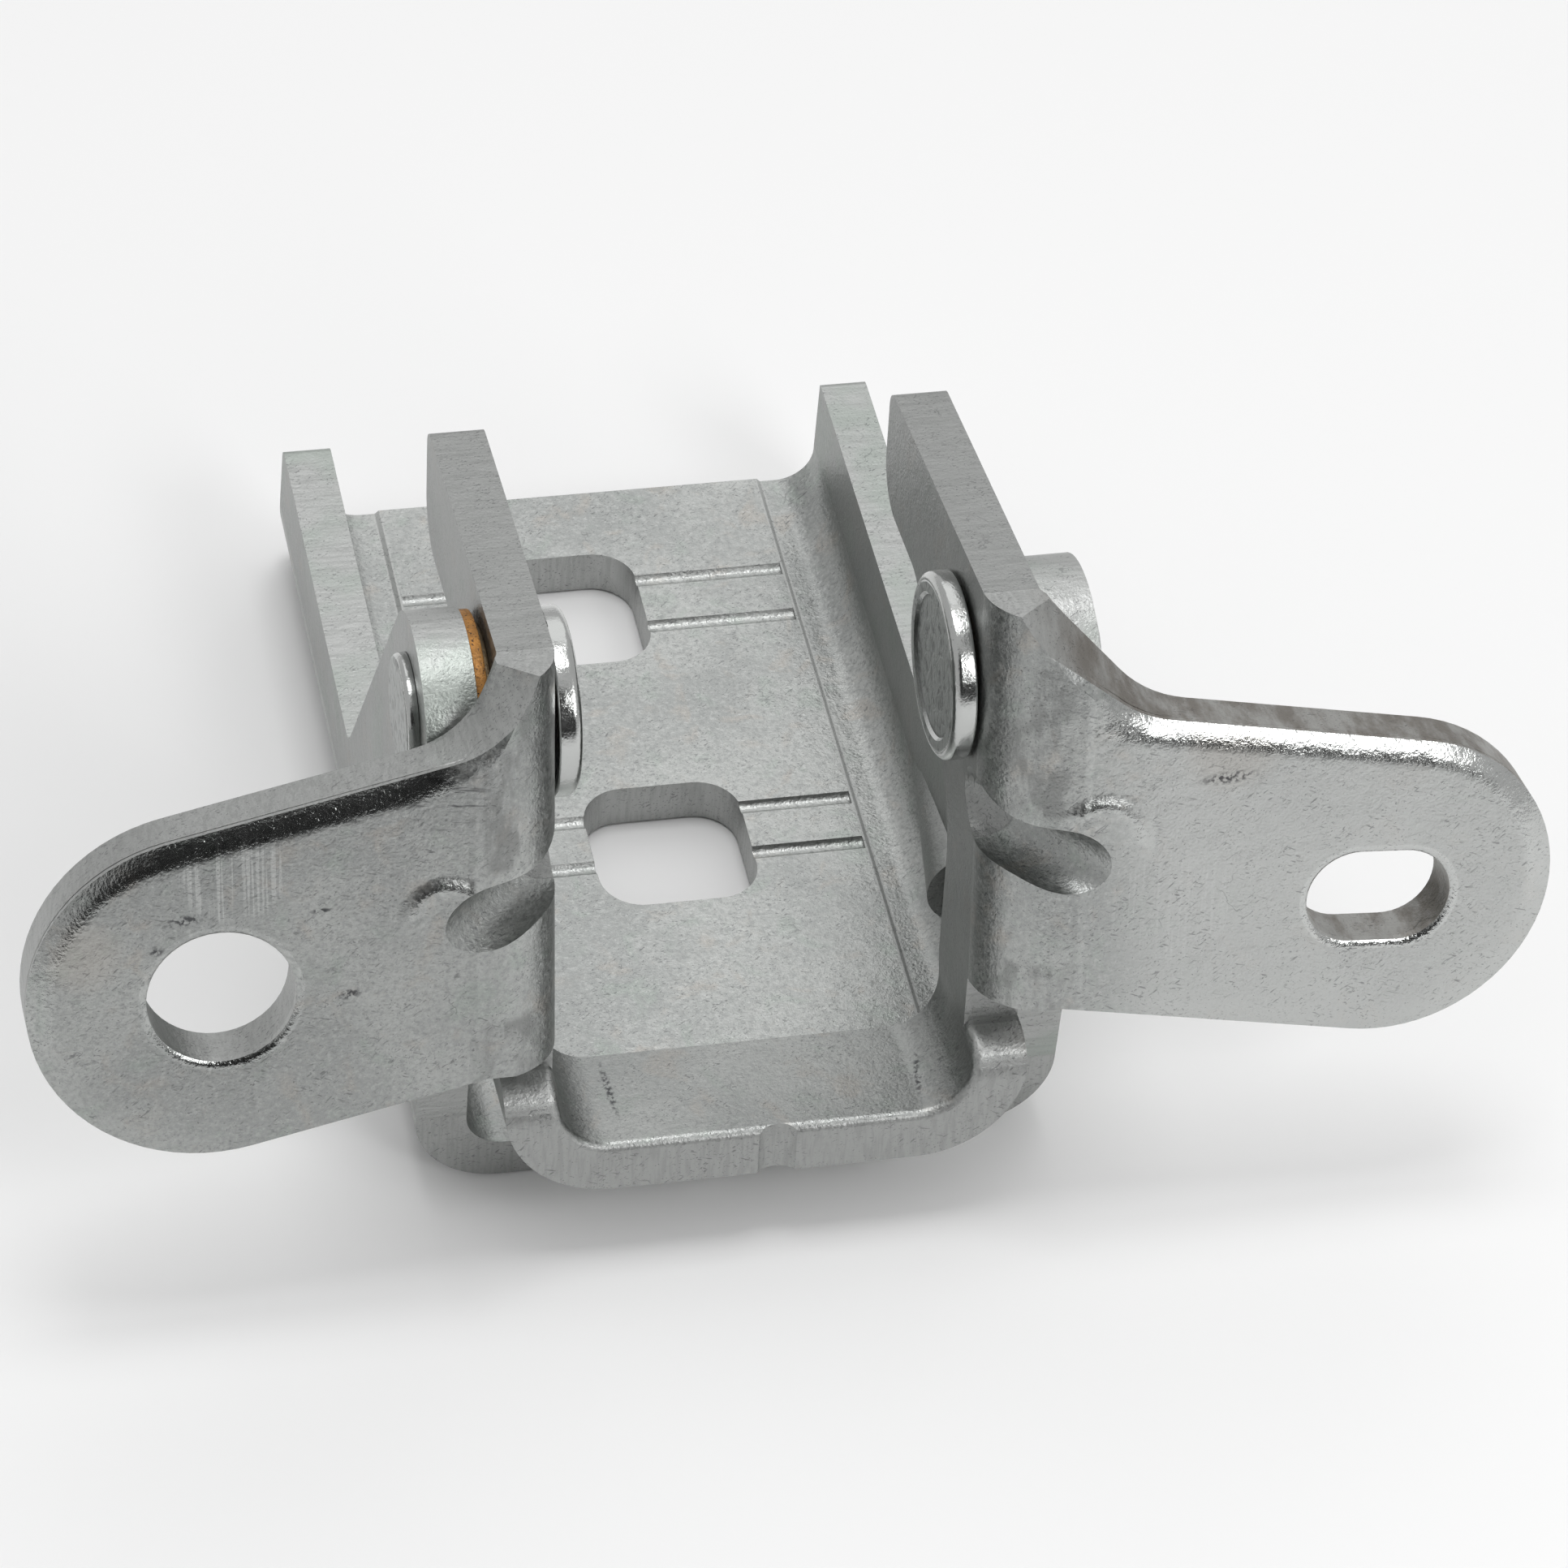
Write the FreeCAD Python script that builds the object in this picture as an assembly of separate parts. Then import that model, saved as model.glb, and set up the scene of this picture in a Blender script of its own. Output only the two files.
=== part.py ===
import FreeCAD, Part
import math
import os

# Hood hinge: two nested steel brackets joined by two headed rivets that turn in flanged bushes.
# Frame: X across the hinge, Y from the pivot towards the tail of the base plate, Z up.
# The origin lies on the underside of the base plate, midway between its two bolt holes.
# All lengths are in millimetres, all angles in degrees.

# Inner bracket, a short stirrup with two arms and two wings, drawn about the pivot
inner_gap = 34.9
arm_steel = 4.6
stirrup_shift = 0.3
rest_tilt = 7.2
web_drop = 35.6
web_front = 14.4
web_rear = 2.8
web_bend_radius = 4.5
web_notch_shift = 1.0
web_notch_radius = 2.2
web_notch_depth = 0.7
wall_rear = 0.9
wall_foot_drop = 29.5
wall_heel_drop = 15.5
wall_heel_radius = 9.0
leg_shoulder_rise = 6.0
leg_shoulder_radius = 3.4
leg_edge_round = 0.8

# Arms of the inner bracket behind the pivot
arm_tip_top = 9.0
arm_length = 27.1
arm_bottom = 1.6
arm_heel_reach = 14.8
arm_tip_radius = 1.6
arm_chin_radius = 4.2
arm_heel_radius = 5.0

# Wings, bent square outwards in front of the pivot, leaning back and drooping to round ends
wing_front = 13.4
wing_lean = 7.5
wing_bend_radius = 2.0
rim_start = 0.3
rim_skew = 1.2
roll_width = 1.9
roll_depth = 0.45
wings = {
    "left": {
        "droop": 11.8,
        "end_radius": 14.7,
        "end_reach": 24.2,
        "end_drop": 15.1,
        "bend_top": 10.5,
        "shoulder_reach": 3.4,
        "shoulder_radius": 8.0,
    },
    "right": {
        "droop": 10.9,
        "end_radius": 13.75,
        "end_reach": 29.4,
        "end_drop": 15.65,
        "bend_top": 11.9,
        "shoulder_reach": 8.75,
        "shoulder_radius": 10.0,
    },
}
round_hole_radius = 6.0
round_hole_reach = 23.35
round_hole_drop = 15.1
slot_width = 8.5
slot_length = 12.3
slot_droop = 3.9
slot_reach = 28.35
slot_drop = 16.3
lip_width = 0.5
lip_depth = 0.3

# Stiffening darts pressed across the wing bends
dart_drop = 9.0
dart_slant = 14.0
dart_radius = 2.9
dart_depth = 4.3
dart_wall = 1.7

# Rivets, bushes and washers on the pivot
shank_radius = 4.2
head_radius = 7.8
head_thickness = 2.0
head_gap = 0.3
head_round = 0.75
head_dish_radius = 5.9
head_dish_depth = 0.25
tenon_radius = 3.5
tail_radius = 5.0
tail_height = 1.0
tail_round = 0.5
seat_clearance = 0.02
running_clearance = 0.05
bush_wall = 1.0
collar_radius = 6.9
collar_thickness = 0.5
washer_radius = 8.0
thin_washer = 0.35

# Outer bracket, a long channel of bent strip
base_steel = 4.3
base_bend_radius = 3.5
flange_height = 15.5
base_front_reach = 9.8
base_tail = 31.1
flange_tail = {"left": 28.4, "right": 31.6}
flange_tail_slope = 1.2
cut_corner_radius = 1.2

# Pivot of the hinge, measured from the underside and from the middle of the bolt holes
pivot_height = 45.6
pivot_reach = 38.3

# Lugs of the outer bracket that carry the rivets
lug_radius = 8.3
lug_rear_foot = 27.9
lug_waist_reach = 3.0
lug_waist_drop = 15.0
lug_shoulder_height = 18.0
lug_valley_radius = 1.5
lug_waist_radius = 8.0

# Raised middle of the base plate, its bolt holes and the lead-in grooves beside them
pad_half_width = 18.0
pad_step = 0.35
bolt_pitch = 30.8
bolt_hole_width = 14.2
bolt_hole_length = 14.5
bolt_hole_corner = 3.8
bolt_hole_shift = {"near": 0.7, "far": -3.0}
groove_pitch = {"near": 5.7, "far": 6.2}
groove_offset = {"near": 0.7, "far": 0.05}
groove_radius = 0.9
groove_depth = 0.45
groove_end_gap = 0.2

# Gussets pressed inwards through the foot of each flange, sheared off square at the front
gusset_front = 10.3
gusset_back = 27.0
gusset_height = 8.0
gusset_radius = 4.2
gusset_rise = 2.4

# Places worked out from the sizes above
arm_inner = inner_gap / 2
arm_outer = arm_inner + arm_steel
convex_radius = wing_bend_radius + arm_steel
dart_reach = 2 * convex_radius
bend_y = convex_radius - wing_front
stirrup_foot = -web_drop - arm_steel
leg_shoulder = leg_shoulder_rise - web_drop
side_shift = {"left": -stirrup_shift, "right": stirrup_shift}
washer_thickness = {"left": thin_washer + 2 * stirrup_shift, "right": thin_washer}
collar_face = arm_outer + collar_thickness
washer_seat = collar_face + stirrup_shift + running_clearance + thin_washer
lug_inner = washer_seat + seat_clearance
lug_outer = lug_inner + base_steel
pivot_y = -pivot_reach
base_front_y = pivot_y - base_front_reach
bend_floor = base_steel - pad_step
tall = pivot_height + lug_radius
long = base_tail + pivot_reach + base_front_reach
section_top = max(wing["bend_top"] for wing in wings.values())

# Points nearer than this count as the same
touching = 0.001

X_AXIS = FreeCAD.Vector(1, 0, 0)
Y_AXIS = FreeCAD.Vector(0, 1, 0)
Z_AXIS = FreeCAD.Vector(0, 0, 1)
CENTRE = FreeCAD.Vector(0, 0, 0)
PIVOT = FreeCAD.Vector(0, pivot_y, pivot_height)


def side_view(y, z):
    return FreeCAD.Vector(0, y, z)


def front_view(x, z):
    return FreeCAD.Vector(x, 0, z)


def plan_view(x, y):
    return FreeCAD.Vector(x, y, 0)


def rounded_wire(corners, place):
    """Closed outline from (a, b) or (a, b, radius) corners, each rounded by a tangent arc."""
    points = [FreeCAD.Vector(corner[0], corner[1], 0) for corner in corners]
    stretches = []
    for index, here in enumerate(points):
        radius = corners[index][2] if len(corners[index]) > 2 else 0
        if radius == 0:
            stretches.append((here, None, here))
            continue
        back = (points[index - 1] - here).normalize()
        ahead = (points[(index + 1) % len(points)] - here).normalize()
        half = back.getAngle(ahead) / 2
        reach = radius / math.tan(half)
        bisector = (back + ahead).normalize()
        middle = here + bisector * (radius / math.sin(half) - radius)
        stretches.append((here + back * reach, middle, here + ahead * reach))
    edges = []
    for index, (start, middle, end) in enumerate(stretches):
        before = stretches[index - 1][2]
        if (start - before).Length > 1e-6:
            edges.append(Part.makeLine(place(before.x, before.y), place(start.x, start.y)))
        if middle is not None:
            arc = Part.Arc(place(start.x, start.y), place(middle.x, middle.y), place(end.x, end.y))
            edges.append(arc.toShape())
    return Part.Wire(edges)


def prism(corners, place, direction):
    return Part.Face(rounded_wire(corners, place)).extrude(direction)


def across(corners, inner, outer):
    """Side-view outline made solid between two distances from the middle plane, on the right."""
    shape = prism(corners, side_view, X_AXIS * (outer - inner))
    shape.translate(X_AXIS * inner)
    return shape


def mirrored(shape):
    return shape.mirror(CENTRE, X_AXIS)


def tangent_point(corner, centre, radius, turn):
    """Where a line from the corner touches a circle; turn is +1 or -1 for the side it passes."""
    to_centre = centre - corner
    run = math.sqrt(to_centre.Length ** 2 - radius ** 2)
    angle = math.atan2(to_centre.y, to_centre.x) + turn * math.asin(radius / to_centre.Length)
    return corner + FreeCAD.Vector(run * math.cos(angle), run * math.sin(angle), 0)


def turned(profile):
    """Solid of revolution about the X axis from (x, radius) corners."""
    return Part.Face(rounded_wire(profile, plan_view)).revolve(CENTRE, X_AXIS, 360)


# Outer bracket

def channel():
    """The bent strip at full height: base plate, raised pad, bends and flanges."""
    corners = [
        (-lug_outer, tall),
        (-lug_outer, 0, base_bend_radius + bend_floor),
        (lug_outer, 0, base_bend_radius + bend_floor),
        (lug_outer, tall),
        (lug_inner, tall),
        (lug_inner, bend_floor, base_bend_radius),
        (pad_half_width + pad_step, bend_floor),
        (pad_half_width, base_steel),
        (-pad_half_width, base_steel),
        (-pad_half_width - pad_step, bend_floor),
        (-lug_inner, bend_floor, base_bend_radius),
        (-lug_inner, tall),
    ]
    shape = prism(corners, front_view, Y_AXIS * long)
    shape.translate(Y_AXIS * base_front_y)
    return shape


def flange_outline(tail):
    """Side view of one flange with its lug, as corners of (y, z)."""
    centre = FreeCAD.Vector(pivot_y, pivot_height, 0)
    foot = FreeCAD.Vector(pivot_y + lug_rear_foot, flange_height, 0)
    waist = FreeCAD.Vector(pivot_y - lug_waist_reach, pivot_height - lug_waist_drop, 0)
    rear = tangent_point(foot, centre, lug_radius, -1)
    front = tangent_point(waist, centre, lug_radius, 1)
    return [
        (base_front_y, 0),
        (base_tail, 0),
        (base_tail, base_steel),
        (tail + flange_tail_slope, base_steel + cut_corner_radius),
        (tail, flange_height, cut_corner_radius),
        (foot.x, foot.y, lug_valley_radius),
        (rear.x, rear.y),
        (centre.x, centre.y),
        (front.x, front.y),
        (waist.x, waist.y, lug_waist_radius),
        (base_front_y, lug_shoulder_height, cut_corner_radius),
    ]


def flange_template(tail):
    """Everything that one half of the bracket may fill, seen from the side."""
    web = across(flange_outline(tail), 0, lug_outer)
    lug = Part.makeCylinder(lug_radius, lug_outer, side_view(pivot_y, pivot_height), X_AXIS)
    return web.fuse(lug)


def bolt_hole(name):
    """Rounded-square hole through the base plate."""
    sign = {"near": -1, "far": 1}[name]
    middle_x = bolt_hole_shift[name]
    middle_y = sign * bolt_pitch / 2
    half_x = bolt_hole_width / 2
    half_y = bolt_hole_length / 2
    corners = [
        (middle_x - half_x, middle_y - half_y, bolt_hole_corner),
        (middle_x + half_x, middle_y - half_y, bolt_hole_corner),
        (middle_x + half_x, middle_y + half_y, bolt_hole_corner),
        (middle_x - half_x, middle_y + half_y, bolt_hole_corner),
    ]
    return prism(corners, plan_view, Z_AXIS * base_steel)


def groove_pair(name):
    """Two shallow round-bottomed grooves across the pad, in line with one bolt hole."""
    sign = {"near": -1, "far": 1}[name]
    middle_y = sign * bolt_pitch / 2 + groove_offset[name]
    half_length = pad_half_width - groove_end_gap
    axis_height = base_steel + groove_radius - groove_depth
    cutters = []
    for side in (-1, 1):
        start = FreeCAD.Vector(-half_length, middle_y + side * groove_pitch[name] / 2, axis_height)
        cutters.append(Part.makeCylinder(groove_radius, 2 * half_length, start, X_AXIS))
    return cutters


def gusset(offset):
    """Tapered round boss along the foot of the right flange, moved outwards by an offset."""
    start = FreeCAD.Vector(
        lug_inner + gusset_radius - gusset_rise + offset,
        pivot_y + gusset_front,
        gusset_height,
    )
    small_end = gusset_radius - gusset_rise
    return Part.makeCone(gusset_radius, small_end, gusset_back - gusset_front, start, Y_AXIS)


def outer_bracket():
    right = flange_template(flange_tail["right"])
    left = mirrored(flange_template(flange_tail["left"]))
    shape = channel().common(right.fuse(left))
    for boss, hollow in (
        (gusset(0), gusset(base_steel)),
        (mirrored(gusset(0)), mirrored(gusset(base_steel))),
    ):
        shape = shape.fuse(boss).cut(hollow)
    for name in ("near", "far"):
        shape = shape.cut(bolt_hole(name))
        shape = shape.cut(groove_pair(name))
    start = FreeCAD.Vector(-lug_outer, pivot_y, pivot_height)
    bore = Part.makeCylinder(tenon_radius + seat_clearance, 2 * lug_outer, start, X_AXIS)
    return shape.cut(bore).removeSplitter()


# Inner bracket, built with the pivot at the origin

def stirrup_section():
    """Web and walls as a bent strip, from its front edge to the tips of its arms."""
    corners = [
        (-arm_outer, section_top),
        (-arm_outer, stirrup_foot, web_bend_radius + arm_steel),
        (arm_outer, stirrup_foot, web_bend_radius + arm_steel),
        (arm_outer, section_top),
        (arm_inner, section_top),
        (arm_inner, -web_drop, web_bend_radius),
        (-arm_inner, -web_drop, web_bend_radius),
        (-arm_inner, section_top),
    ]
    shape = prism(corners, front_view, Y_AXIS * (web_front + arm_length))
    shape.translate(Y_AXIS * -web_front)
    return shape


def rim_height(wing, reach, rise):
    """Height of a drooping edge that runs at a rise above the middle line of the wing."""
    droop = math.radians(wing["droop"])
    return rise / math.cos(droop) - wing["end_drop"] - (reach - wing["end_reach"]) * math.tan(droop)


def wing_foot(wing):
    return rim_height(wing, wing_bend_radius, -wing["end_radius"])


def end_corner(wing, radius, side):
    """Corner of the square round the end of the wing, above or below its middle line."""
    droop = math.radians(wing["droop"])
    along = radius * math.cos(droop) + side * radius * math.sin(droop)
    up = side * radius * math.cos(droop) - radius * math.sin(droop)
    return wing["end_reach"] + along, up - wing["end_drop"], radius


def wing_outline(wing, inset, start, skew):
    """Front view of the upright wing as (reach, height) corners, its rim moved in by an inset."""
    radius = wing["end_radius"] - inset
    shoulder = wing["shoulder_reach"] - skew
    beyond_bend = -2 * arm_steel
    return [
        (beyond_bend, wing["bend_top"]),
        (start, wing["bend_top"]),
        (shoulder, rim_height(wing, shoulder, radius), wing["shoulder_radius"]),
        end_corner(wing, radius, 1),
        end_corner(wing, radius, -1),
        (wing_bend_radius, rim_height(wing, wing_bend_radius, -radius)),
        (beyond_bend, wing_foot(wing)),
    ]


def wing_point(reach, height, depth=0):
    """Point of the upright wing: out from the wall, up, and back from the front face."""
    return FreeCAD.Vector(arm_outer + reach, depth - wing_front, height)


def wing_trim(wing):
    """Everything the upright wing may fill. Its cut rim follows the bend and rolls over in front."""
    def standing(inset, start, skew, depth):
        def at_depth(reach, height):
            return wing_point(reach, height, depth)

        return rounded_wire(wing_outline(wing, inset, start, skew), at_depth)

    back = standing(0, rim_start, 0, arm_steel)
    rim = standing(0, rim_start - arm_steel, rim_skew, roll_depth)
    face = standing(roll_width, rim_start - arm_steel, rim_skew, 0)
    bend_room = Part.Face(back).extrude(Y_AXIS * convex_radius)
    cut_rim = Part.makeLoft([back, rim], True, True)
    roll_over = Part.makeLoft([rim, face], True, True)
    return bend_room.fuse(cut_rim).fuse(roll_over)


def wing_blank(wing):
    """Plan view of the wall bent out into the wing, drawn up over the full height of the wing."""
    end = arm_outer + wing["end_reach"] + 2 * wing["end_radius"]
    corners = [
        (arm_inner, bend_y),
        (arm_inner, -wing_front, convex_radius),
        (end, -wing_front),
        (end, arm_steel - wing_front),
        (arm_outer, arm_steel - wing_front, wing_bend_radius),
        (arm_outer, bend_y),
    ]
    height = wing["bend_top"] + wing["end_drop"] + 2 * wing["end_radius"]
    shape = prism(corners, plan_view, Z_AXIS * height)
    shape.translate(Z_AXIS * (wing["bend_top"] - height))
    return shape


def round_hole():
    """Bore through the left wing with its front lip rolled in."""
    start = wing_point(round_hole_reach, -round_hole_drop)
    bore = Part.makeCylinder(round_hole_radius, arm_steel, start, Y_AXIS)
    lip = Part.makeCone(round_hole_radius + lip_width, round_hole_radius, lip_depth, start, Y_AXIS)
    return bore.fuse(lip)


def slot_wire(widen, depth):
    droop = math.radians(slot_droop)
    half_length = slot_length / 2 + widen
    half_width = slot_width / 2 + widen

    def on_slot(along, up):
        reach = slot_reach + along * math.cos(droop) + up * math.sin(droop)
        height = up * math.cos(droop) - along * math.sin(droop) - slot_drop
        return wing_point(reach, height, depth)

    corners = [
        (-half_length, -half_width, half_width),
        (half_length, -half_width, half_width),
        (half_length, half_width, half_width),
        (-half_length, half_width, half_width),
    ]
    return rounded_wire(corners, on_slot)


def slanted_slot():
    """Round-ended slot through the right wing with its front lip rolled in."""
    rim = slot_wire(0, lip_depth)
    lip = Part.makeLoft([slot_wire(lip_width, 0), rim], True, True)
    return lip.fuse(Part.Face(rim).extrude(Y_AXIS * arm_steel))


def dart(radius):
    """Round bar lying across the convex side of the bend, sloping down towards the wing."""
    slant = math.radians(dart_slant)
    inward = FreeCAD.Vector(-1, -1, 0).normalize()
    outward = FreeCAD.Vector(1, -1, 0).normalize()
    along = outward * math.cos(slant) - Z_AXIS * math.sin(slant)
    centre = FreeCAD.Vector(arm_outer + wing_bend_radius, bend_y, -dart_drop)
    crown = centre + inward * (convex_radius - dart_depth + dart_radius)
    return Part.makeCylinder(radius, 2 * dart_reach, crown - along * dart_reach, along)


def dart_ridge(wing):
    """Steel pushed out behind the dart, kept inside the round of the bend."""
    foot = wing_foot(wing)
    envelope_start = FreeCAD.Vector(arm_outer + wing_bend_radius, bend_y, foot)
    envelope = Part.makeCylinder(convex_radius, -foot, envelope_start, Z_AXIS)
    return dart(dart_radius + dart_wall).common(envelope)


def leaned(shape, name):
    """Tips an upright wing back about the foot of its front face and puts it on its side."""
    shape.rotate(FreeCAD.Vector(0, -wing_front, 0), X_AXIS, -wing_lean)
    return mirrored(shape) if name == "left" else shape


def leaned_side(y, height):
    """Side view of a point of the upright wing after it is tipped back."""
    lean = math.radians(wing_lean)
    depth = y + wing_front
    behind = depth * math.cos(lean) + height * math.sin(lean)
    return behind - wing_front, height * math.cos(lean) - depth * math.sin(lean)


def wall_outline(wing):
    """Side view of one wall with its arm and leg, as corners of (y, z)."""
    top = leaned_side(bend_y, wing["bend_top"])
    relief = leaned_side(bend_y, wing_foot(wing))
    return [
        top,
        (arm_length, arm_tip_top, arm_tip_radius),
        (arm_length, -arm_bottom, arm_chin_radius),
        (arm_heel_reach, -arm_bottom, arm_heel_radius),
        (-wall_rear, -wall_heel_drop, wall_heel_radius),
        (-wall_rear, -wall_foot_drop, web_bend_radius),
        (-web_rear, -web_drop),
        (-web_rear, stirrup_foot),
        (-web_front, stirrup_foot),
        (-web_front, leg_shoulder, leg_shoulder_radius),
        (relief[0], leg_shoulder),
        relief,
    ]


def rolled_front(shape):
    """Rounds the inner front rim of the web and its two bends."""
    def inside(vertex):
        point = vertex.Point
        at_front = abs(point.y + web_front) < touching
        return at_front and abs(point.x) < arm_inner + touching and point.z > -web_drop - touching

    rim = [edge for edge in shape.Edges if all(inside(vertex) for vertex in edge.Vertexes)]
    return shape.makeFillet(leg_edge_round, rim)


def web_notch():
    """Small dent in the middle of the web's front edge."""
    notch_y = web_notch_depth - web_notch_radius - web_front
    start = FreeCAD.Vector(web_notch_shift, notch_y, stirrup_foot)
    return Part.makeCylinder(web_notch_radius, arm_steel, start, Z_AXIS)


def inner_bracket():
    right = across(wall_outline(wings["right"]), 0, arm_outer)
    left = mirrored(across(wall_outline(wings["left"]), 0, arm_outer))
    shape = rolled_front(stirrup_section().common(right.fuse(left)))
    openings = {"left": round_hole(), "right": slanted_slot()}
    for name, wing in wings.items():
        blade = wing_blank(wing).common(wing_trim(wing)).cut(openings[name])
        blade = blade.fuse(dart_ridge(wing))
        shape = shape.fuse(leaned(blade, name)).cut(leaned(dart(dart_radius), name))
    start = FreeCAD.Vector(-arm_outer, 0, 0)
    bore_radius = shank_radius + running_clearance + bush_wall + seat_clearance
    bore = Part.makeCylinder(bore_radius, 2 * arm_outer, start, X_AXIS)
    return shape.cut(bore).cut(web_notch()).removeSplitter()


# Rivets, bushes and washers, drawn for the right side with the pivot at the origin

def rivet(name):
    wall = arm_inner + side_shift[name]
    rim = wall - head_gap - head_thickness
    tail_foot = lug_outer + running_clearance
    return turned([
        (rim + head_dish_depth, 0),
        (rim + head_dish_depth, head_dish_radius),
        (rim, head_dish_radius + head_dish_depth),
        (rim, head_radius, head_round),
        (wall - head_gap, head_radius, head_dish_depth),
        (wall - head_gap, shank_radius),
        (washer_seat, shank_radius),
        (washer_seat, tenon_radius),
        (tail_foot, tenon_radius),
        (tail_foot, tail_radius),
        (tail_foot + tail_height, tail_radius, tail_round),
        (tail_foot + tail_height, 0),
    ])


def bush(name):
    inside = shank_radius + running_clearance
    inner_end = arm_inner + side_shift[name] - head_gap + running_clearance
    wall = arm_outer + side_shift[name]
    return turned([
        (inner_end, inside),
        (wall + collar_thickness, inside),
        (wall + collar_thickness, collar_radius),
        (wall, collar_radius),
        (wall, inside + bush_wall),
        (inner_end, inside + bush_wall),
    ])


def washer(name):
    inside = shank_radius + running_clearance
    return turned([
        (washer_seat - washer_thickness[name], inside),
        (washer_seat, inside),
        (washer_seat, washer_radius),
        (washer_seat - washer_thickness[name], washer_radius),
    ])


def at_pivot(shape, tilt):
    shape.rotate(CENTRE, X_AXIS, -tilt)
    shape.translate(PIVOT)
    return shape


nodes = {
    "outer_bracket": outer_bracket(),
    "inner_bracket": at_pivot(inner_bracket(), rest_tilt),
}
nodes["inner_bracket"].translate(X_AXIS * stirrup_shift)
for part, make, tilt in (("rivet", rivet, 0), ("bush", bush, rest_tilt), ("washer", washer, 0)):
    nodes[part + "_right"] = at_pivot(make("right"), tilt)
    nodes[part + "_left"] = at_pivot(mirrored(make("left")), tilt)

os.makedirs("parts", exist_ok=True)
for name, shape in nodes.items():
    print(name, "valid", shape.isValid(), "solids", len(shape.Solids), "volume", round(shape.Volume, 1))
    shape.exportStep("parts/" + name + ".step")
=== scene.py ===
import bpy
import math
from mathutils import Matrix, Vector


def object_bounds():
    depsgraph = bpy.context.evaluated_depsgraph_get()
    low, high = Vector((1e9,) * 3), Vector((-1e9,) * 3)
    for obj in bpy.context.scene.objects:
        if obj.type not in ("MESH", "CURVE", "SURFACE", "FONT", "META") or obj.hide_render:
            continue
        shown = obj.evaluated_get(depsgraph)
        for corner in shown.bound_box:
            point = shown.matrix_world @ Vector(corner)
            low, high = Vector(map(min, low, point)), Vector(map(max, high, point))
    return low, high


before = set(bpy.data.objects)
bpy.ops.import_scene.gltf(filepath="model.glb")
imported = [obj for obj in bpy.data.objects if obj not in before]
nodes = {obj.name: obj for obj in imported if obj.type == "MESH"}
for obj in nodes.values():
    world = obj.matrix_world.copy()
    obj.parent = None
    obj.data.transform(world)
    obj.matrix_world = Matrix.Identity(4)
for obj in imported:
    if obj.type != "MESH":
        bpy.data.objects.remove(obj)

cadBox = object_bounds()
print("frame loaded,", len(nodes), "pieces")

# Camera, floor and light

camera = {
    "place": (-0.0944, -0.3845, 0.3849),
    "yaw": 15.0,  # degrees to the right of straight ahead
    "down": 44.86,  # degrees below the horizon
    "roll": 5.26,
    "lens": 139.8,
    "shiftX": 0.0455,
    "shiftY": 0.0332,
    "near": 0.01,
    "far": 20.0,
}


def makeCamera(c):
    yaw = math.radians(c["yaw"])
    down = math.radians(c["down"])
    level = math.cos(down)
    ahead = Vector((math.sin(yaw) * level, math.cos(yaw) * level, -math.sin(down)))
    turn = ahead.to_track_quat("-Z", "Y").to_matrix().to_4x4()
    turn = turn @ Matrix.Rotation(math.radians(c["roll"]), 4, "Z")
    data = bpy.data.cameras.new("photoCamera")
    data.lens = c["lens"]
    data.shift_x = c["shiftX"]
    data.shift_y = c["shiftY"]
    data.clip_start = c["near"]
    data.clip_end = c["far"]
    cam = bpy.data.objects.new("photoCamera", data)
    cam.matrix_world = Matrix.Translation(Vector(c["place"])) @ turn
    bpy.context.scene.collection.objects.link(cam)
    bpy.context.scene.camera = cam


studio = {
    "floorSize": 3.0,
    "floorGap": 0.0002,  # under the base plate
    "floorRough": 0.9,
    "floorColour": (0.90, 0.90, 0.90, 1),
    "skyLevel": 0.62,
    "darkWay": (0.0, -0.90, 0.42),
    "darkReach": 0.76,  # cosine where the dark side of the room begins
    "darkCore": 0.93,
    "darkShare": 0.95,
    "lamps": {
        "frontCard": {"place": (0.235, -0.42, 0.365), "size": 0.24, "watts": 0.95},
        "overhead": {"place": (0.0, 0.1, 1.3), "size": 0.5, "watts": 5.0},
        "backGlow": {"place": (0.25, 0.85, 0.85), "size": 0.9, "watts": 1.6},
    },
}


def makeFloor(s):
    half = s["floorSize"] / 2
    mesh = bpy.data.meshes.new("floor")
    corners = [(-half, -half, 0), (half, -half, 0), (half, half, 0), (-half, half, 0)]
    mesh.from_pydata(corners, [], [(0, 1, 2, 3)])
    floor = bpy.data.objects.new("floor", mesh)
    floor.location.z = cadBox[0][2] - s["floorGap"]
    mat = bpy.data.materials.new("paleFloor")
    mat.use_nodes = True
    skin = mat.node_tree.nodes["Principled BSDF"]
    skin.inputs["Base Color"].default_value = s["floorColour"]
    skin.inputs["Roughness"].default_value = s["floorRough"]
    mesh.materials.append(mat)
    bpy.context.scene.collection.objects.link(floor)


def makeLamps(s):
    for name, lamp in s["lamps"].items():
        data = bpy.data.lights.new(name, "AREA")
        data.size = lamp["size"]
        data.energy = lamp["watts"]
        obj = bpy.data.objects.new(name, data)
        place = Vector(lamp["place"])
        obj.location = place
        obj.rotation_euler = (-place).to_track_quat("-Z", "Y").to_euler()
        bpy.context.scene.collection.objects.link(obj)


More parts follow.
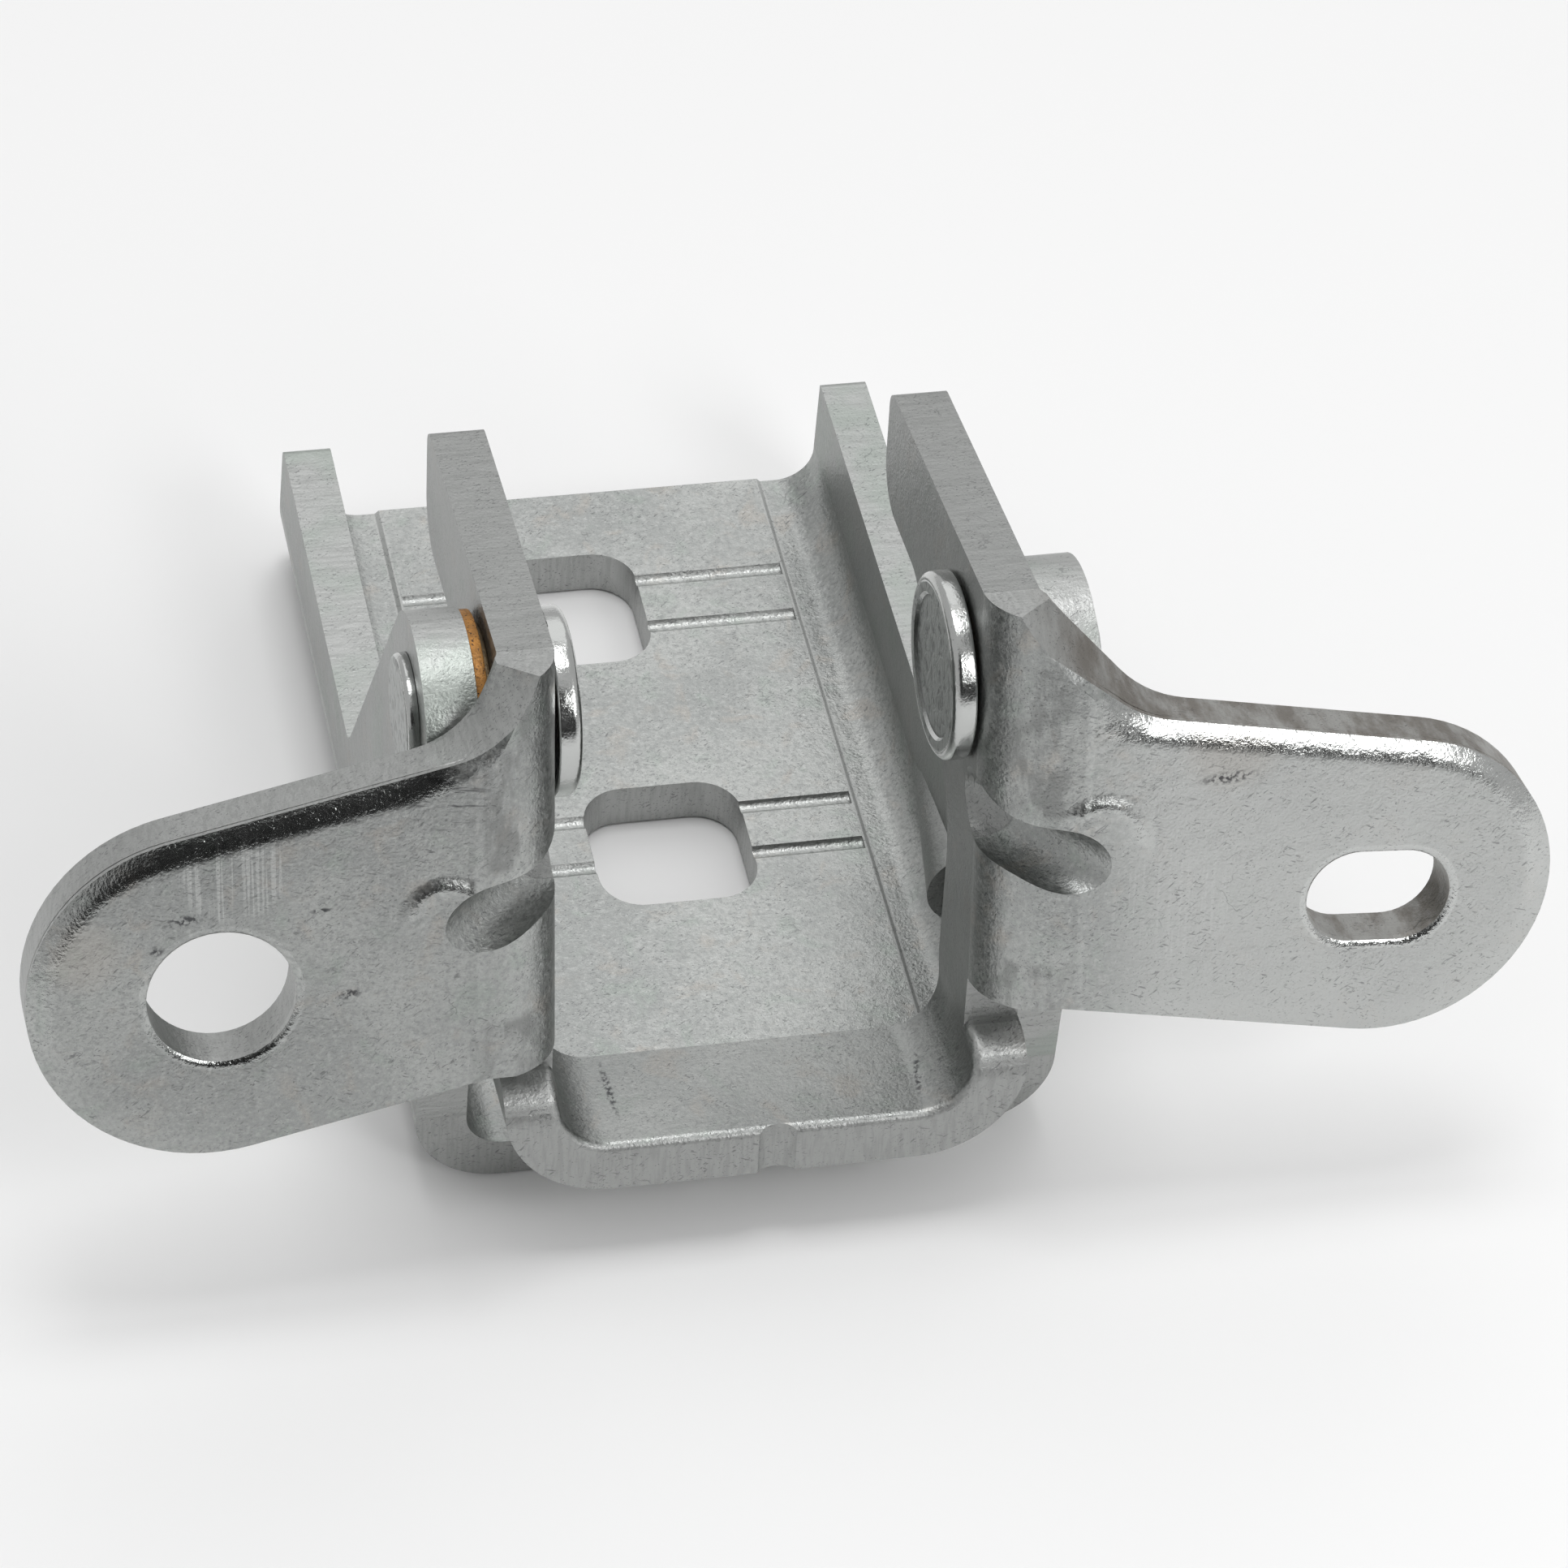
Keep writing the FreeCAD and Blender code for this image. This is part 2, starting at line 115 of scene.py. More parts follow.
def makeRoom(s):
    world = bpy.data.worlds.new("room")
    bpy.context.scene.world = world
    world.use_nodes = True
    tree = world.node_tree
    sky = tree.nodes["Background"]
    where = tree.nodes.new("ShaderNodeTexCoord")
    dot = tree.nodes.new("ShaderNodeVectorMath")
    dot.operation = "DOT_PRODUCT"
    dot.inputs[1].default_value = Vector(s["darkWay"]).normalized()
    fade = tree.nodes.new("ShaderNodeMapRange")
    fade.interpolation_type = "SMOOTHSTEP"
    fade.inputs["From Min"].default_value = s["darkReach"]
    fade.inputs["From Max"].default_value = s["darkCore"]
    fade.inputs["To Min"].default_value = s["skyLevel"]
    fade.inputs["To Max"].default_value = s["skyLevel"] * (1 - s["darkShare"])
    tree.links.new(where.outputs["Generated"], dot.inputs[0])
    tree.links.new(dot.outputs["Value"], fade.inputs["Value"])
    tree.links.new(fade.outputs["Result"], sky.inputs["Color"])


makeCamera(camera)
makeFloor(studio)
makeLamps(studio)
makeRoom(studio)
bpy.context.scene.view_settings.view_transform = "Standard"
print("camera, floor and light are up")

# Node helpers for the finishes


def newBench(name):
    mat = bpy.data.materials.new(name)
    mat.use_nodes = True
    tree = mat.node_tree
    return mat, tree, tree.nodes["Principled BSDF"]


def plug(tree, socket, value):
    if hasattr(value, "is_linked"):
        tree.links.new(value, socket)
    else:
        socket.default_value = value


def calc(tree, how, a, b=0.0, clamp=False):
    node = tree.nodes.new("ShaderNodeMath")
    node.operation = how
    node.use_clamp = clamp
    plug(tree, node.inputs[0], a)
    plug(tree, node.inputs[1], b)
    return node.outputs[0]


def times(tree, *values):
    result = values[0]
    for value in values[1:]:
        result = calc(tree, "MULTIPLY", result, value)
    return result


def either(tree, *values):
    result = values[0]
    for value in values[1:]:
        result = calc(tree, "MAXIMUM", result, value)
    return result


def inverse(tree, value):
    return calc(tree, "SUBTRACT", 1.0, value)


def ease(tree, value, low, high, toLow=0.0, toHigh=1.0):
    node = tree.nodes.new("ShaderNodeMapRange")
    node.interpolation_type = "SMOOTHSTEP"
    if low > high:
        low, high, toLow, toHigh = high, low, toHigh, toLow
    ends = {"From Min": low, "From Max": high, "To Min": toLow, "To Max": toHigh}
    for key, number in ends.items():
        node.inputs[key].default_value = number
    plug(tree, node.inputs["Value"], value)
    return node.outputs["Result"]


def blendColour(tree, share, a, b, how="MIX"):
    node = tree.nodes.new("ShaderNodeMix")
    node.data_type = "RGBA"
    node.blend_type = how
    plug(tree, node.inputs[0], share)
    plug(tree, node.inputs[6], a)
    plug(tree, node.inputs[7], b)
    return node.outputs[2]


def blendValue(tree, share, a, b):
    node = tree.nodes.new("ShaderNodeMix")
    plug(tree, node.inputs[0], share)
    plug(tree, node.inputs[2], a)
    plug(tree, node.inputs[3], b)
    return node.outputs[0]


def blendPlace(tree, share, a, b):
    node = tree.nodes.new("ShaderNodeMix")
    node.data_type = "VECTOR"
    plug(tree, node.inputs[0], share)
    tree.links.new(a, node.inputs[4])
    tree.links.new(b, node.inputs[5])
    return node.outputs[1]


def noise(tree, where, scale, detail=2.0, rough=0.5, twist=0.0):
    node = tree.nodes.new("ShaderNodeTexNoise")
    node.inputs["Scale"].default_value = scale
    node.inputs["Detail"].default_value = detail
    node.inputs["Roughness"].default_value = rough
    node.inputs["Distortion"].default_value = twist
    tree.links.new(where, node.inputs["Vector"])
    return node.outputs["Fac"]


def moved(tree, where, turn=(0, 0, 0), scale=(1, 1, 1), shift=(0, 0, 0)):
    node = tree.nodes.new("ShaderNodeMapping")
    node.vector_type = "TEXTURE"
    node.inputs["Location"].default_value = shift
    node.inputs["Rotation"].default_value = [math.radians(t) for t in turn]
    node.inputs["Scale"].default_value = scale
    tree.links.new(where, node.inputs["Vector"])
    return node.outputs["Vector"]


def texture(tree, where, look):
    # noise as one of the dictionaries below describes it
    if "stretch" in look:
        where = moved(tree, where, look.get("turn", (0, 0, 0)), look["stretch"])
    return noise(tree, where, look["scale"], look.get("detail", 2.0), look.get("rough", 0.5),
                 look.get("twist", 0.0))


def shown(tree, where, look, span="shows"):
    return ease(tree, texture(tree, where, look), *look[span])


def wobbled(tree, where, scale, reach):
    node = tree.nodes.new("ShaderNodeTexNoise")
    node.inputs["Scale"].default_value = scale
    tree.links.new(where, node.inputs["Vector"])
    centred = tree.nodes.new("ShaderNodeVectorMath")
    centred.operation = "MULTIPLY_ADD"
    tree.links.new(node.outputs["Color"], centred.inputs[0])
    centred.inputs[1].default_value = (reach, reach, reach)
    tree.links.new(where, centred.inputs[2])
    return centred.outputs["Vector"]


def cracks(tree, where, scale, width):
    node = tree.nodes.new("ShaderNodeTexVoronoi")
    node.feature = "DISTANCE_TO_EDGE"
    node.inputs["Scale"].default_value = scale
    tree.links.new(where, node.inputs["Vector"])
    return ease(tree, node.outputs["Distance"], width, 0.0)


def split(tree, vector):
    node = tree.nodes.new("ShaderNodeSeparateXYZ")
    tree.links.new(vector, node.inputs[0])
    return node.outputs


def along(tree, vector, way, start=(0, 0, 0)):
    node = tree.nodes.new("ShaderNodeVectorMath")
    node.operation = "DOT_PRODUCT"
    node.inputs[1].default_value = way
    tree.links.new(vector, node.inputs[0])
    return calc(tree, "SUBTRACT", node.outputs["Value"], Vector(way).dot(Vector(start)))


def magnitude(tree, value):
    return calc(tree, "ABSOLUTE", value)


def near(tree, value, place, width, core=0.0):
    # 1 within core of a place along one axis, 0 past the width
    return ease(tree, magnitude(tree, calc(tree, "SUBTRACT", value, place)), width, core)


def turned(tree, a, b, middle, degrees):
    angle = math.radians(degrees)
    da = calc(tree, "SUBTRACT", a, middle[0])
    db = calc(tree, "SUBTRACT", b, middle[1])
    u = calc(tree, "ADD", times(tree, da, math.cos(angle)), times(tree, db, math.sin(angle)))
    v = calc(tree, "SUBTRACT", times(tree, db, math.cos(angle)), times(tree, da, math.sin(angle)))
    return u, v


def bump(tree, *reliefs):
    # each relief is a height from 0 to 1 and its real depth in metres
    total = 0.0
    for height, depth in reliefs:
        total = calc(tree, "ADD", total, times(tree, height, depth))
    node = tree.nodes.new("ShaderNodeBump")
    node.inputs["Distance"].default_value = 1.0
    tree.links.new(total, node.inputs["Height"])
    return node.outputs["Normal"]


def spot(tree, a, b, mark):
    # soft oval: 1 in its middle, 0 at its edge, turned by the mark's own angle
    u, v = turned(tree, a, b, mark["at"], mark.get("turn", 0))
    u = times(tree, u, 1 / mark["half"][0])
    v = times(tree, v, 1 / mark["half"][1])
    away = calc(tree, "ADD", times(tree, u, u), times(tree, v, v))
    return ease(tree, away, 1.0, mark.get("core", 0.0))


# Zinc plated steel: satin sheet faces, brighter sheared rims, shiny rolled-over edges

zinc = {
    "sheet": (0.42, 0.432, 0.422, 1),
    "sheetShare": 0.62,  # how far the even grey covers the clouds
    "sheetDark": (0.30, 0.31, 0.305, 1),
    "sheetLight": (0.52, 0.53, 0.515, 1),
    "tan": (0.45, 0.415, 0.375, 1),
    "green": (0.36, 0.41, 0.37, 1),
    "cut": (0.46, 0.468, 0.46, 1),
    "shear": (0.40, 0.408, 0.40, 1),
    # dark zinc tone, used to paint shade on the walls, the web and the left wing, and for the
    # patchy darker band along the wing bends
    "darkTone": (0.20, 0.205, 0.20, 1),
    # a lighter zinc tone, for the random light dust and for the painted light on the right wing
    "freshAndLit": (0.54, 0.55, 0.54, 1),
    # a light zinc tone, for real wipe marks and for the painted highlight on the pad's step
    "wipedAndHighlight": (0.62, 0.63, 0.62, 1),
    "dirt": (0.055, 0.055, 0.06, 1),
    "brown": (0.20, 0.185, 0.165, 1),
    "sheetRough": 0.40,
    "roughSwing": 0.07,
    "cutRough": 0.46,
    "rollRough": 0.17,
    "dullRough": 0.8,
    "grainDepth": 0.00005,
    "swellShare": 1.6,
    "shearDepth": 0.00002,
    "markShare": 0.46,
    # every span below gives where a tint starts and where it is full, then its shares there
    "clouds": {"scale": 75.0, "rough": 0.55, "shows": (0.36, 0.66)},
    "patches": {"scale": 260.0, "rough": 0.6, "twist": 0.6,
                "green": (0.54, 0.72, 0.0, 0.45), "tan": (0.44, 0.28, 0.0, 0.5)},
    "dust": {"scale": 2200.0, "detail": 3.0, "rough": 0.7, "swings": (0.3, 0.7),
             "dark": (0.54, 0.34, 0.0, 0.7), "light": (0.52, 0.68, 0.0, 0.55)},
    "specks": {"scale": 5200.0, "detail": 1.0, "shows": (0.69, 0.76)},
    "strokes": {"scale": 5200.0, "detail": 1.0, "stretch": (5, 1, 1), "shows": (0.655, 0.74)},
    "strokeTurns": ((12, 20, 0), (-30, -35, 15), (5, -12, 40)),
    "strokeFields": {"scale": 300.0, "detail": 3.0, "shows": (0.36, 0.58, 0.1, 1.0)},
    "cracks": {"scale": 240.0, "width": 0.016, "wobble": (900.0, 0.0012)},
    "crackFields": {"scale": 260.0, "detail": 1.0, "shows": (0.62, 0.72, 0.0, 0.8)},
    "stripes": {"scale": 2600.0, "rough": 0.6, "twist": 0.3, "shows": (0.34, 0.6)},
    "stripesAlongX": (12, 1, 1),  # how long the stripes are along each axis
    "stripesAlongY": (1, 12, 1),
    "stripesAlongZ": (1, 1, 12),
    "grain": {"scale": 3600.0, "rough": 0.6},
    "swell": {"scale": 620.0},
}


def sheetLook(tree, where, z):
    # mottled satin plating with specks, short strokes and a few fine cracks
    patch = texture(tree, where, z["patches"])
    dust = texture(tree, where, z["dust"])
    colour = blendColour(tree, shown(tree, where, z["clouds"]), z["sheetDark"], z["sheetLight"])
    colour = blendColour(tree, z["sheetShare"], colour, z["sheet"])
    for value, span, tint in ((patch, z["patches"]["green"], z["green"]),
                              (patch, z["patches"]["tan"], z["tan"]),
                              (dust, z["dust"]["dark"], z["sheetDark"]),
                              (dust, z["dust"]["light"], z["freshAndLit"])):
        colour = blendColour(tree, ease(tree, value, *span), colour, tint)
    strokes = 0.0
    for turn in z["strokeTurns"]:
        strokes = either(tree, strokes, shown(tree, where, dict(z["strokes"], turn=turn)))
    strokes = times(tree, strokes, shown(tree, where, z["strokeFields"]))
    wavy = wobbled(tree, where, *z["cracks"]["wobble"])
    thin = cracks(tree, wavy, z["cracks"]["scale"], z["cracks"]["width"])
    thin = times(tree, thin, shown(tree, where, z["crackFields"]))
    return colour, either(tree, shown(tree, where, z["specks"]), strokes, thin), dust


def cutLook(tree, where, z, ways):
    # torn and burnished stripes through the thickness; ways pairs a stretch with its zone
    place = where
    for stretch, zone in ways:
        place = blendPlace(tree, zone, place, moved(tree, where, scale=stretch))
    stripes = texture(tree, place, z["stripes"])
    colour = blendColour(tree, ease(tree, stripes, *z["stripes"]["shows"]), z["shear"], z["cut"])
    return colour, stripes


def makeZinc(name, z, zones):
    mat, tree, skin = newBench(name)
    coord = tree.nodes.new("ShaderNodeTexCoord")
    where = coord.outputs["Object"]
    zone = zones(tree, where, coord.outputs["Normal"])
    cut = zone["cut"]
    colour, marks, dust = sheetLook(tree, where, z)
    cutColour, stripes = cutLook(tree, where, z, zone["ways"])
    colour = blendColour(tree, cut, colour, cutColour)
    for share, tint in zone["tints"]:
        colour = blendColour(tree, share, colour, tint)
    dark = either(tree, times(tree, marks, z["markShare"]), *zone["scars"])
    plug(tree, skin.inputs["Base Color"], blendColour(tree, dark, colour, z["dirt"]))
    skin.inputs["Metallic"].default_value = 1.0
    low, high = z["sheetRough"] - z["roughSwing"], z["sheetRough"] + z["roughSwing"]
    rough = ease(tree, dust, *z["dust"]["swings"], low, high)
    rough = blendValue(tree, cut, rough, z["cutRough"])
    rough = blendValue(tree, zone["roll"], rough, z["rollRough"])
    rough = blendValue(tree, zone["dull"], rough, z["dullRough"])
    plug(tree, skin.inputs["Roughness"], rough)
    swell = times(tree, texture(tree, where, z["swell"]), z["swellShare"])
    grain = calc(tree, "ADD", texture(tree, where, z["grain"]), swell)
    reliefs = [(grain, z["grainDepth"]), (times(tree, stripes, cut), z["shearDepth"])]
    plug(tree, skin.inputs["Normal"], bump(tree, *reliefs, *zone["dents"]))
    return mat


# Stirrup

stirrup = {
    "wingWay": (0, -0.9672, 0.2538),  # straight out of the wings' front faces
    "wingUp": (0, 0.2538, 0.9672),
    "wingHeel": (0, -0.0516, 0.0473),
    "webWay": (0, 0.9921, -0.1253),
    "bendDepth": 0.0066,
    "bendDepthBlur": 0.0002,
    "bendEnd": (0.0244, 0.0248),
    "legTop": (0.0160, 0.0168),
    "dartLow": (-0.0205, -0.0195),
    "dartHigh": (-0.0055, -0.0065),
    "dartReach": (0.0298, 0.0295),
    "frontSkin": (0.001, 0.0008),
    "onBend": (0.4, 0.65),  # these five say how far a face leans before it counts as cut or flat
    "onBlade": (0.86, 0.7),
    "cutWall": (0.75, 0.5),
    "cutWeb": (0.6, 0.85),
    "flatBlade": (0.97, 0.985),
    "wipeLines": {"scale": 3200.0, "detail": 1.0, "stretch": (1, 60, 60), "shows": (0.54, 0.62)},
    "wipes": [
        {"at": (-0.0438, -0.0040), "half": (0.0048, 0.0046), "core": 0.5, "share": 0.4},
        {"at": (0.0330, -0.0150), "half": (0.0060, 0.0060), "core": 0.5, "share": 0.2},
    ],
    "dashes": {"scale": 2300.0, "stretch": (9, 1, 1), "turn": (0, 8, 0), "shows": (0.56, 0.66)},
    "scratchShare": 0.7,
    "scratches": [
        {"at": (-0.0268, 0.0012), "half": (0.0042, 0.0034)},
    ],
    "ragged": {"scale": 2600.0, "detail": 3.0, "shows": (0.42, 0.6)},
    "stainShare": 0.9,
    "stains": [
        {"at": (-0.0480, -0.0076), "half": (0.0022, 0.0007), "turn": 6},
        {"at": (-0.0502, -0.0101), "half": (0.0008, 0.0006)},
        {"at": (-0.0349, -0.0158), "half": (0.0012, 0.0006), "turn": 12},
        {"at": (-0.0370, -0.0078), "half": (0.0011, 0.0003)},
        {"at": (0.0372, -0.0035), "half": (0.0030, 0.0007), "turn": 4},
    ],
    "tanShare": 0.35,
    "tans": [
        {"at": (0.0374, -0.0012), "half": (0.0050, 0.0042)},
        {"at": (-0.0560, -0.0100), "half": (0.0040, 0.0040)},
    ],
    "chips": [
        {"at": (-0.0571, -0.0038), "half": (0.0020, 0.0006), "turn": 46, "core": 0.6},
        {"at": (-0.0602, -0.0095), "half": (0.0016, 0.0004), "turn": 68, "core": 0.6},
    ],
    "noseRim": (0.0, 0.0014),
    "noseDepth": 0.0004,
    "noseShine": 0.8,
    "noses": [
        {"at": (-0.0270, -0.0098), "radius": 0.0026, "width": 0.0016, "turn": 20},
        {"at": (0.0268, -0.0085), "radius": 0.0030, "width": 0.0017, "turn": -30},
    ],
    # painted shade: the walls, their cut tops and the web are darkened towards the dark tone,
    # standing in for the shade that falls on them inside the channels
    "wallShade": 0.5,
    "armTopShade": 0.4,
    "webShade": 0.3,
    # painted light and shade: the left wing is tinted towards the dark tone and the right wing
    # towards the light tone, for how the light falls on each wing
    "leftShade": (-0.018, -0.024, 0.0, 0.16),
    "rightLight": (0.024, 0.034, 0.0, 0.75),
    "blotches": {"scale": 420.0, "detail": 4.0, "rough": 0.65, "stretch": (1, 2.5, 2.5),
              "bend": (0.42, 0.6, 0.08, 0.72), "rim": (0.36, 0.62, 0.45, 0.95)},
    "bendDark": {"at": 0.0215, "width": 0.0042, "core": 0.001},
    "grimeRim": (0.020, 0.026),
    "creases": (-0.0246, 0.0251),
    "creaseWidth": 0.0007,
    "creaseDepth": 0.00012,
    "blades": [
        {"side": -1, "end": (-0.0460, -0.0151), "radius": 0.0147, "droop": 11.8},
        {"side": 1, "end": (0.05175, -0.01565), "radius": 0.01375, "droop": 10.9},
    ],
    "rollWidth": 0.0027,
    "rollSlope": 0.62,
    "rollFrom": (0.0245, 0.0310),
    "rollTurn": (-0.006, 0.006, 0.2, 1.0),
    "facetWidth": 0.0019,
    "facetSlope": 0.237,
    "shineFrom": (0.0245, 0.0280),
    "shineTurn": (-0.004, 0.004),
    "shineCore": 0.6,  # share of the roll that shines in full
    "onRoll": (0.84, 0.92),
    "lips": [
        {"at": (-0.0451, -0.0151), "radius": 0.0060, "stretch": 0.0},
        {"at": (0.0507, -0.0163), "radius": 0.00425, "stretch": 0.0019, "turn": -3.9},
    ],
    "lipWidth": 0.0008,
    "lipCore": 0.7,
    "lipBlur": 0.0001,
    "webLines": [
        {"at": (-0.0117, -0.0500), "half": (0.0004, 0.0045), "turn": 2},
        {"at": (0.0143, -0.0520), "half": (0.0004, 0.0035), "turn": -10},
    ],
}


def stadium(tree, a, b, middle, turn, stretch, openEnd):
    # distance from the middle line of a round-ended bar
    u, v = turned(tree, a, b, middle, turn)
    if not openEnd:
        u = magnitude(tree, u)
    past = calc(tree, "MAXIMUM", calc(tree, "SUBTRACT", u, stretch), 0.0)
    away = calc(tree, "SQRT", calc(tree, "ADD", times(tree, past, past), times(tree, v, v)))
    return away, v


def roundedOff(tree, inset, width, slope):
    # drop of a round edge of that width, which ends at that slope
    left = calc(tree, "MAXIMUM", calc(tree, "SUBTRACT", width, inset), 0.0)
    return times(tree, left, left, 0.5 * slope / width)


def rolledRims(tree, x, up):
    # height of the round rim above its built flat facet, and the band that shines
    s = stirrup
    height, band = 0.0, 0.0
    for blade in s["blades"]:
        reach = times(tree, x, float(blade["side"]))
        middle = (abs(blade["end"][0]), blade["end"][1])
        away, v = stadium(tree, reach, up, middle, -blade["droop"], 0.0, True)
        inset = calc(tree, "SUBTRACT", blade["radius"], away)
        rise = calc(tree, "SUBTRACT", roundedOff(tree, inset, s["facetWidth"], s["facetSlope"]),
                    roundedOff(tree, inset, s["rollWidth"], s["rollSlope"]))
        rise = times(tree, rise, ease(tree, reach, *s["rollFrom"]), ease(tree, v, *s["rollTurn"]))
        height = calc(tree, "ADD", height, rise)
        here = times(tree, ease(tree, inset, s["rollWidth"], s["shineCore"] * s["rollWidth"]),
                     ease(tree, v, *s["shineTurn"]), ease(tree, reach, *s["shineFrom"]))
        band = either(tree, band, here)
    return height, band


def noseRing(tree, x, up):
    # swelling of the steel in a half ring above the nose of each dart
    ring = 0.0
    for nose in stirrup["noses"]:
        away, v = stadium(tree, x, up, nose["at"], nose["turn"], 0.0, False)
        here = near(tree, away, nose["radius"], nose["width"])
        ring = either(tree, ring, times(tree, here, ease(tree, v, *stirrup["noseRim"])))
    return ring


def lipBand(tree, x, up):
    s = stirrup
    band = 0.0
    for lip in s["lips"]:
        away = stadium(tree, x, up, lip["at"], lip.get("turn", 0.0), lip["stretch"], False)[0]
        edge = lip["radius"]
        outer = ease(tree, away, edge + s["lipWidth"], edge + s["lipCore"] * s["lipWidth"])
        inner = ease(tree, away, edge - s["lipBlur"], edge + s["lipBlur"])
        band = either(tree, band, times(tree, outer, inner))
    return band


def stirrupParts(tree, where, facing):
    # which part of the stirrup a point is on, and whether it is a sheared rim
    s = stirrup
    x, y, z = split(tree, where)
    across = magnitude(tree, x)
    wingWay = along(tree, facing, s["wingWay"])
    wingLean = magnitude(tree, along(tree, facing, s["wingUp"]))
    webLean = magnitude(tree, along(tree, facing, s["webWay"]))
    depth = times(tree, along(tree, where, s["wingWay"], s["wingHeel"]), -1.0)
    up = along(tree, where, s["wingUp"], s["wingHeel"])
    aboveLegs = ease(tree, z, *s["legTop"])
    behindBend = ease(tree, depth, s["bendDepth"], s["bendDepth"] - s["bendDepthBlur"])
    inWing = times(tree, aboveLegs, behindBend)
    onDart = times(tree, ease(tree, up, *s["dartLow"]), ease(tree, up, *s["dartHigh"]),
                   ease(tree, across, *s["dartReach"]))
    bendCut = ease(tree, wingLean, *s["onBend"])
    bladeCut = ease(tree, magnitude(tree, wingWay), *s["onBlade"])
    cutWing = blendValue(tree, ease(tree, across, *s["bendEnd"]), bendCut, bladeCut)
    cutWing = times(tree, cutWing, inverse(tree, onDart))
    cutWall = ease(tree, magnitude(tree, split(tree, facing)[0]), *s["cutWall"])
    cutWeb = ease(tree, webLean, *s["cutWeb"])
    cut = blendValue(tree, aboveLegs, cutWeb, blendValue(tree, inWing, cutWall, cutWing))
    front = times(tree, inWing, ease(tree, depth, *s["frontSkin"]))
    return {
        "x": x,
        "y": y,
        "up": up,
        "across": across,
        "inWing": inWing,
        "inWall": times(tree, aboveLegs, inverse(tree, inWing)),
        "inWeb": inverse(tree, aboveLegs),
        "onDart": onDart,
        "cut": cut,
        "front": front,
        "onRoll": ease(tree, wingWay, *s["onRoll"]),
        "blade": times(tree, front, ease(tree, wingWay, *s["flatBlade"])),
    }


def stirrupScars(tree, where, part):
    # scratches, stains, dark chips and fold lines, each where the real one has it
    s = stirrup
    x, up = part["x"], part["up"]
    dashes = shown(tree, where, s["dashes"])
    ragged = shown(tree, where, s["ragged"])
    scars = [times(tree, spot(tree, x, up, m), part["blade"], dashes, s["scratchShare"])
             for m in s["scratches"]]
    scars += [times(tree, spot(tree, x, up, m), part["blade"], ragged, s["stainShare"])
              for m in s["stains"]]
    scars += [times(tree, spot(tree, x, up, m), part["inWing"], ragged) for m in s["chips"]]
    scars += [times(tree, spot(tree, x, part["y"], m), part["inWeb"], ragged, s["stainShare"])
              for m in s["webLines"]]
    return scars


def stirrupTints(tree, where, part):
    s = stirrup
    x, up, inWing, cut = part["x"], part["up"], part["inWing"], part["cut"]
    blotches = texture(tree, where, s["blotches"])
    bend = s["bendDark"]
    atBend = near(tree, part["across"], bend["at"], bend["width"], bend["core"])
    # a patchy darker band along the wing bends, off the cut rims and the darts
    bendDarkening = times(tree, inWing, inverse(tree, cut), inverse(tree, part["onDart"]), atBend,
                      ease(tree, blotches, *s["blotches"]["bend"]))
    rimGrime = times(tree, inWing, cut, ease(tree, x, *s["grimeRim"]),
                     ease(tree, blotches, *s["blotches"]["rim"]))
    wallShare = blendValue(tree, cut, s["wallShade"], s["armTopShade"])
    lines = shown(tree, where, s["wipeLines"])
    tints = [
        # painted shade on the left wing and painted light on the right wing
        (times(tree, inWing, ease(tree, x, *s["leftShade"])), zinc["darkTone"]),
        (times(tree, inWing, ease(tree, x, *s["rightLight"])), zinc["freshAndLit"]),
        # painted shade on the walls and the web
        (times(tree, part["inWall"], wallShare), zinc["darkTone"]),
        (times(tree, part["inWeb"], s["webShade"]), zinc["darkTone"]),
        (bendDarkening, zinc["darkTone"]),
        (rimGrime, zinc["brown"]),
    ]
    for mark in s["wipes"]:
        wipe = times(tree, spot(tree, x, up, mark), part["blade"], lines, mark["share"])
        tints.append((wipe, zinc["wipedAndHighlight"]))
    for mark in s["tans"]:
        tan = times(tree, spot(tree, x, up, mark), part["blade"], s["tanShare"])
        tints.append((tan, zinc["tan"]))
    return tints


def stirrupZones(tree, where, facing):
    s = stirrup
    part = stirrupParts(tree, where, facing)
    x, up, front = part["x"], part["up"], part["front"]
    rims, shine = rolledRims(tree, x, up)
    roll = times(tree, front, shine, part["onRoll"])
    lip = times(tree, front, lipBand(tree, x, up))
    nose = times(tree, noseRing(tree, x, up), part["blade"])
    crease = 0.0
    for place in s["creases"]:
        crease = either(tree, crease, near(tree, x, place, s["creaseWidth"]))
    crease = times(tree, crease, part["blade"])
    dents = [(crease, s["creaseDepth"]), (nose, s["noseDepth"]), (times(tree, rims, front), 1.0)]
    ways = [(zinc["stripesAlongX"], 1.0), (zinc["stripesAlongY"], part["inWing"]),
            (zinc["stripesAlongZ"], part["inWeb"])]
    return {
        "cut": part["cut"],
        "roll": either(tree, roll, lip, times(tree, nose, s["noseShine"])),
        "dull": 0.0,
        "ways": ways,
        "tints": stirrupTints(tree, where, part),
        "scars": stirrupScars(tree, where, part),
        "dents": dents,
    }


# Channel

channel = {
    "wallFrom": (0.0077, 0.0080),
    "padEdge": (0.0188, 0.0186),
    # where the painted highlight along the pad's step lies
    "stepAt": 0.01818,
    "stepWidth": 0.0004,
    "stepCore": 0.00025,
    "stepFrom": (0.0038, 0.0039),
    "cutEnd": (0.6, 0.8),  # these three say how far a face leans before it counts as cut
    "cutRim": (0.75, 0.5),
    "cutHole": (0.7, 0.45),
    # painted shade: the flange walls, away from their cut rims, are darkened towards the dark tone
    "wallShade": 0.4,
    "tintFields": {"scale": 130.0, "shows": (0.45, 0.65, 0.0, 0.5)},
}


